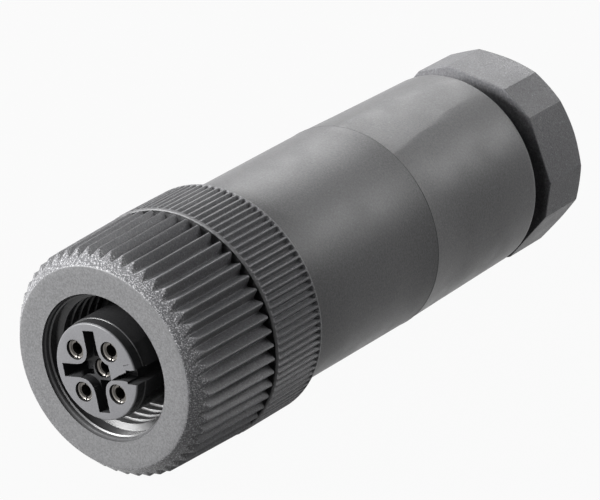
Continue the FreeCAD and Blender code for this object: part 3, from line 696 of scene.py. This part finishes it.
def core_region(start, end):
    """The hollow in the middle of the face, left between the round islands of the four holes."""
    half = CONTACT_CIRCLE_R / math.sqrt(2)
    square = slab(-half, BRIDGE_X, 2 * half, start, end, CORE_ANGLE)
    islands = [rod(ISLAND_R, start - 1, end + 1, ring_place(angle), 96) for angle in CONTACT_ANGLES]
    return carve(square, islands)


def insulator_face():
    """The front insulator, with its holes, cored slots, low platform and keyway."""
    body = lathe(
        "socket_insulator",
        [
            (0, 0), (3.93, 0), (3.99, 0.012), (4.035, 0.045), (4.068, 0.09), (4.08, 0.15), (4.1, 0.95),
            (4.12, 0.965), (4.2, 0.98), (4.22, FLANGE_FRONT_Y), (FLANGE_R, FLANGE_FRONT_Y),
            (FLANGE_R, FLANGE_REAR_Y), (4.2, FLANGE_REAR_Y), (4.2, SHANK_REAR_Y), (0, SHANK_REAR_Y),
        ],
        256,
    )
    channel = rod(CHANNEL_R, AHEAD, CHANNEL_DEPTH, ring_place(CONTACT_ANGLES[2]), 96)
    hollows = [
        core_region(AHEAD, CORE_DEPTH),
        slab(1.0, SLOT_END_R, SLOT_WIDTH, AHEAD, SLOT_DEPTH, SLOT_ANGLE),
        slab(1.0, SLOT_END_R, SLOT_WIDTH, AHEAD, SLOT_DEPTH, SLOT_ANGLE + 180),
        slab(2.45, SLOT_END_R, SLOT_WIDTH, AHEAD, SLOT_DEPTH, SLOT_ANGLE + 90),
        slab(1.0, SLOT_END_R, SLOT_WIDTH, AHEAD, CHANNEL_DEPTH, SLOT_ANGLE + 90),
        carve(channel, [core_region(AHEAD - 0.5, CHANNEL_DEPTH + 0.1)], "INTERSECT"),
        slab(KEY_FLOOR_R, FLANGE_R, KEY_WIDTH, AHEAD, KEY_LENGTH, KEY_ANGLE),
        prism("cutter", [[(x, y, z) for x, z in KEYWAY_EDGE] for y in (AHEAD, KEYWAY_MOUTH_DEPTH)]),
        slab(KNIT_START_R, KNIT_END_R, KNIT_WIDTH, AHEAD, KNIT_DEPTH, KNIT_ANGLE),
    ]
    hollows += [rod(HOLE_R, AHEAD, THROUGH, ring_place(angle)) for angle in CONTACT_ANGLES]
    hollows.append(rod(HOLE_R, AHEAD, THROUGH))
    return carve(body, hollows)


insert = insulator_face()
ease(insert, 0.035, angle=40)
dress(insert, "carrier", "socket_insert", insulator, sharp=35)
# Every face behind the face's rounded edge takes the darker insulator: painted shade in the slots, holes,
# keyway and round its side.
finish_behind(insert, insulator_painted_shade, 0.16)

MOUTH_DEPTH = 0.36
SLIT_WIDTH, SLIT_ANGLE = 0.16, 104
OUTER_MOUTH_Y, MIDDLE_MOUTH_Y = 0.22, 1.05


def socket_mouth(number, place, front):
    """The funnel in which a socket takes its pin: turned, with the socket's slit across it."""
    ring = lathe(
        f"socket_mouth_{number}",
        [
            (0.5, front + MOUTH_DEPTH), (0.505, front + 0.28), (0.53, front + 0.22), (0.74, front + 0.02),
            (0.77, front), (0.8, front + 0.01), (0.82, front + 0.04), (0.82, front + MOUTH_DEPTH),
        ],
        64,
    )
    carve(ring, [slab(-1, 1, SLIT_WIDTH, front - 1, front + 1, SLIT_ANGLE)])
    # Its nickel is darkened as painted shade of the hole.
    dress(shift(ring, place), "carrier", None, nickel_painted_shade, sharp=40)


for number, angle in enumerate(CONTACT_ANGLES, 1):
    socket_mouth(number, ring_place(angle), OUTER_MOUTH_Y)
socket_mouth(5, (0, 0), MIDDLE_MOUTH_Y)


# ---- housing and gland nut ---------------------------------------------------------------------------------

# The two wrench flats start at the parting line and sink by this much for each mm behind it.
FLAT_ANGLES = (90.0, 270.0)
FLAT_APOTHEM, FLAT_LEAN = 8.62, 0.015
# The cutter of a flat ends here, well past the housing.
FLAT_CUTTER_R, FLAT_CUTTER_WIDTH, FLAT_CUTTER_REAR_Y = 12.0, 19.0, 50.0


def flat_cutter(angle):
    """The wedge that cuts one wrench flat: a block with its inner rear edge moved outwards."""
    wedge = slab(FLAT_APOTHEM, FLAT_CUTTER_R, FLAT_CUTTER_WIDTH, SEAM_Y + 0.02, FLAT_CUTTER_REAR_Y, angle)
    outwards = at(1, angle, 0)
    for corner in wedge.data.vertices:
        if corner.co.dot(outwards) < FLAT_CUTTER_R - 1 and corner.co.y > FLAT_CUTTER_REAR_Y - 1:
            corner.co += at(FLAT_LEAN * (FLAT_CUTTER_REAR_Y - SEAM_Y), angle, 0)
    return wedge


def housing():
    """The sleeve: parting line, two wrench flats, gland spigot, and the bore that takes spigot and wires."""
    front, rear = HOUSING_FRONT_Y, HOUSING_REAR_Y
    body = lathe(
        "housing_sleeve_shell",
        [
            (8.94, front), (9.0, front + 0.03), (9.04, front + 0.1), (9.06, 22.3), (9.085, 28.3),
            (9.1, SEAM_Y - 0.05), (9.13, SEAM_Y - 0.02), (9.13, SEAM_Y + 0.02), (9.09, SEAM_Y + 0.05),
            (8.99, 38.3), (8.91, 43.3), (8.84, 48.0), (8.81, 48.25), (8.74, 48.4), (8.62, 48.48), (8.5, rear),
            (6.55, rear), (6.55, GLAND_SPIGOT_REAR_Y - 0.25), (6.3, GLAND_SPIGOT_REAR_Y),
            (5.8, GLAND_SPIGOT_REAR_Y), (5.8, 45.8), (4.35, 45.8), (4.2, 45.65), (4.2, 43.45), (4.35, 43.3),
            (7.6, 43.3), (7.6, 22.8), (8.0, 22.8), (8.0, 18.1), (8.25, 17.85), (8.25, front),
        ],
        256,
    )
    return carve(body, [flat_cutter(angle) for angle in FLAT_ANGLES])


sleeve = housing()
ease(sleeve, 0.06, angle=20)
dress(sleeve, "housing", "housing_sleeve", polyamide, sharp=28)

# Six wide sides with narrow ones between them; the first wide side's middle, and half its angle
GLAND_SIDE_ANGLE, GLAND_WIDE_HALF_ANGLE = 92.5, 19.4
GLAND_CORNER_FRONT_R, GLAND_CORNER_REAR_R = 9.02, 9.0


def gland_corners(radius, y):
    """The twelve corners of the gland nut's outline."""
    corners = []
    for side in range(6):
        middle = GLAND_SIDE_ANGLE + 60 * side
        for angle in (middle - GLAND_WIDE_HALF_ANGLE, middle + GLAND_WIDE_HALF_ANGLE):
            corners.append(at(radius, angle, y))
    return corners


def gland():
    """The gland nut: twelve sides, wide and narrow in turn, bevelled at the rear by a cone."""
    front, rear = GLAND_FRONT_Y, GLAND_REAR_Y
    body = prism(
        "twelve_sided_gland_nut",
        [gland_corners(GLAND_CORNER_FRONT_R, front), gland_corners(GLAND_CORNER_REAR_R, rear)],
    )
    ease(body, 0.07, angle=15)
    ahead = 49.0
    envelope = lathe(
        "cutter",
        [
            (0, ahead), (9.8, ahead), (9.8, rear - 1.8), (8.6, rear - 0.75), (8.3, rear - 0.42),
            (8.1, rear - 0.2), (7.85, rear - 0.06), (7.6, rear), (7.6, rear + 1), (0, rear + 1),
        ],
    )
    carve(body, [envelope], "INTERSECT")
    bore = lathe(
        "cutter",
        [
            (0, ahead), (7.3, ahead), (7.3, front), (7.05, front + 0.25), (7.05, 54.3), (5.45, 55.2),
            (4.35, 55.2), (4.2, 55.35), (4.2, 55.9), (4.5, rear), (4.5, 57.3), (0, 57.3),
        ],
        128,
    )
    return carve(body, [bore])


gland_nut = gland()
ease(gland_nut, 0.05, angle=28)
dress(gland_nut, "gland_nut", "gland_nut", grip_polyamide, sharp=12)


# ---- seals and cage ----------------------------------------------------------------------------------------

RING_SIDES = 20


def o_ring(name, centre_r, tube_r, y, node):
    """A moulded rubber ring with its round section."""
    turns = [math.tau * side / RING_SIDES for side in range(RING_SIDES)]
    outline = [(centre_r + tube_r * math.cos(turn), y + tube_r * math.sin(turn)) for turn in turns]
    return dress(lathe(name, outline, 144), "carrier", node, nitrile, sharp=60)


o_ring("face_o_ring", 4.87, 0.47, 7.0, "face_seal")
o_ring("housing_o_ring", 7.67, 0.54, 17.25, "housing_seal")

# The cable seal has two grooves in its bore.
cable_seal = lathe(
    "cable_seal_sleeve",
    [
        (3.5, 45.82), (5.3, 45.82), (5.5, 45.88), (5.66, 46.04), (5.7, 46.22), (5.7, 50.4), (5.66, 50.6),
        (5.5, 50.76), (5.3, 50.82), (3.5, 50.82), (3.28, 50.76), (3.14, 50.6), (3.1, 50.4), (3.1, 49.2),
        (3.25, 49.0), (3.25, 48.6), (3.1, 48.4), (3.1, 47.7), (3.25, 47.5), (3.25, 47.1), (3.1, 46.9),
        (3.1, 46.22), (3.14, 46.04), (3.28, 45.88),
    ],
    128,
)
dress(cable_seal, "housing", "cable_seal", nitrile, sharp=60)
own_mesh(cable_seal)

# The cage grips the cable with eight fingers, each with two small grooves across its inside.
CAGE_SLOTS, CAGE_SLOT_WIDTH, CAGE_SLOT_START = 8, 0.8, 52.3
cage = lathe(
    "clamping_cage_ring",
    [
        (3.6, 50.9), (5.7, 50.9), (5.7, 53.7), (5.25, 55.1), (3.6, 55.1), (3.6, 54.6), (3.75, 54.4),
        (3.6, 54.2), (3.6, 53.7), (3.75, 53.5), (3.6, 53.3),
    ],
    96,
)
carve(
    cage,
    [slab(0, 7, CAGE_SLOT_WIDTH, CAGE_SLOT_START, 56.3, 360 / CAGE_SLOTS * slot) for slot in range(CAGE_SLOTS)],
)
ease(cage, 0.05, segments=1, angle=40)
dress(cage, "cage", "clamping_cage", acetal, sharp=35)

# The CAD nodes that stay get their finishes.
finishes = {"terminal_block": insulator}
# The contacts take the same nickel, darkened as painted shade of their holes.
for number in range(1, 6):
    finishes[f"contact_{number}"] = nickel_painted_shade
    finishes[f"terminal_screw_{number}"] = nickel
for name, finish in finishes.items():
    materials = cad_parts[name].data.materials
    materials.clear()
    materials.append(finish)


# ---- floor, light and camera -------------------------------------------------------------------------------

# The floor is white to the eye but for a small share, in which its grey keeps the object's soft shadow.
FLOOR_SIZE = 1.5
FLOOR_GAP = 0.00002
FLOOR_WHITE_SHARE = 0.95
# What the surroundings give the object as light, where white to the eye is 1
FILL_LIGHT = 0.02


def white_to_the_eye(tree):
    """1 for a ray from the camera, or one that comes by a reflection or through glass, and otherwise 0."""
    path = add(tree, "ShaderNodeLightPath").outputs
    seen = add(
        tree, "ShaderNodeMath", {"operation": "MAXIMUM"}, {0: path["Is Camera Ray"], 1: path["Is Glossy Ray"]}
    )
    seen = add(
        tree, "ShaderNodeMath", {"operation": "MAXIMUM"}, {0: seen.outputs[0], 1: path["Is Transmission Ray"]}
    )
    return seen.outputs[0]


def pale_floor():
    """A pale floor just under the object."""
    low = cad_low.z - FLOOR_GAP
    corners = [(x * FLOOR_SIZE, y * FLOOR_SIZE, low) for x, y in ((-1, -1), (1, -1), (1, 1), (-1, 1))]
    floor = new_object("floor", corners, [(0, 1, 2, 3)])
    material = bpy.data.materials.new("matte_studio_floor")
    material.use_nodes = True
    tree = material.node_tree
    tree.nodes.clear()
    seen = white_to_the_eye(tree)
    matte = add(tree, "ShaderNodeBsdfDiffuse", {"Color": linear("#5c5c5c")})
    glow = add(tree, "ShaderNodeEmission", {"Color": linear("#ffffff"), "Strength": 1.0})
    share = add(tree, "ShaderNodeMath", {"operation": "MULTIPLY", 1: FLOOR_WHITE_SHARE}, {0: seen})
    mix = add(tree, "ShaderNodeMixShader", None, {0: share.outputs[0], 1: matte.outputs[0], 2: glow.outputs[0]})
    add(tree, "ShaderNodeOutputMaterial", None, {"Surface": mix.outputs[0]})
    floor.data.materials.append(material)


def white_surroundings():
    """A world that is white to the eye and lights the object only a little."""
    world = bpy.data.worlds.new("studio")
    bpy.context.scene.world = world
    world.use_nodes = True
    tree = world.node_tree
    tree.nodes.clear()
    seen = white_to_the_eye(tree)
    fill = add(tree, "ShaderNodeBackground", {"Color": linear("#ffffff"), "Strength": FILL_LIGHT})
    white = add(tree, "ShaderNodeBackground", {"Color": linear("#ffffff"), "Strength": 1.0})
    mix = add(tree, "ShaderNodeMixShader", None, {0: seen, 1: fill.outputs[0], 2: white.outputs[0]})
    add(tree, "ShaderNodeOutputWorld", None, {"Surface": mix.outputs[0]})


pale_floor()
white_surroundings()

# The lamps stand this far, in metres, from a point in the middle of the object.
LAMP_DISTANCE = 0.6
LAMP_AIM = Vector((0, 0.028, 0))


def softbox(name, turn, rise, power, size):
    """A soft square lamp; its turn goes from the front towards +X, and its size is its side in metres."""
    lamp = bpy.data.lights.new(name, "AREA")
    lamp.shape = "RECTANGLE"
    lamp.size = lamp.size_y = size
    lamp.energy = power
    thing = bpy.data.objects.new(name, lamp)
    bpy.context.scene.collection.objects.link(thing)
    turn, rise = math.radians(turn), math.radians(rise)
    towards = Vector((math.sin(turn) * math.cos(rise), -math.cos(turn) * math.cos(rise), math.sin(rise)))
    thing.location = LAMP_AIM + LAMP_DISTANCE * towards
    thing.rotation_euler = (-towards).to_track_quat("-Z", "Y").to_euler()


softbox("front_left_softbox", -42, 12, 11.6, 0.3)
softbox("front_softbox", 0, 15, 0.7, 0.22)
softbox("high_front_left_softbox", -40, 45, 0.6, 0.22)
softbox("rear_left_softbox", -145, 27, 1.45, 0.32)
softbox("rear_softbox", 170, 45, 0.5, 0.32)
softbox("rear_right_softbox", 153, 35, 1.85, 0.3)

# The camera looks from where the photograph was taken: its place in metres, its right and up directions.
CAMERA_PLACE = Vector((0.15851742, -0.21975783, 0.1725804))
CAMERA_RIGHT = Vector((0.78882816, 0.60027072, 0.13200456))
CAMERA_UP = Vector((-0.3995805, 0.33768326, 0.85223555))
LENS_MM, SENSOR_MM = 246.42, 36.0

camera_data = bpy.data.cameras.new("camera")
camera = bpy.data.objects.new("camera", camera_data)
bpy.context.scene.collection.objects.link(camera)
columns = (CAMERA_RIGHT, CAMERA_UP, CAMERA_RIGHT.cross(CAMERA_UP), CAMERA_PLACE)
camera.matrix_world = Matrix([[column[row] for column in columns] for row in range(3)] + [[0, 0, 0, 1]])
camera_data.lens = LENS_MM
camera_data.sensor_width = SENSOR_MM
camera_data.clip_start = 0.001
camera_data.clip_end = 10.0
bpy.context.scene.camera = camera
bpy.context.scene.view_settings.view_transform = "Standard"
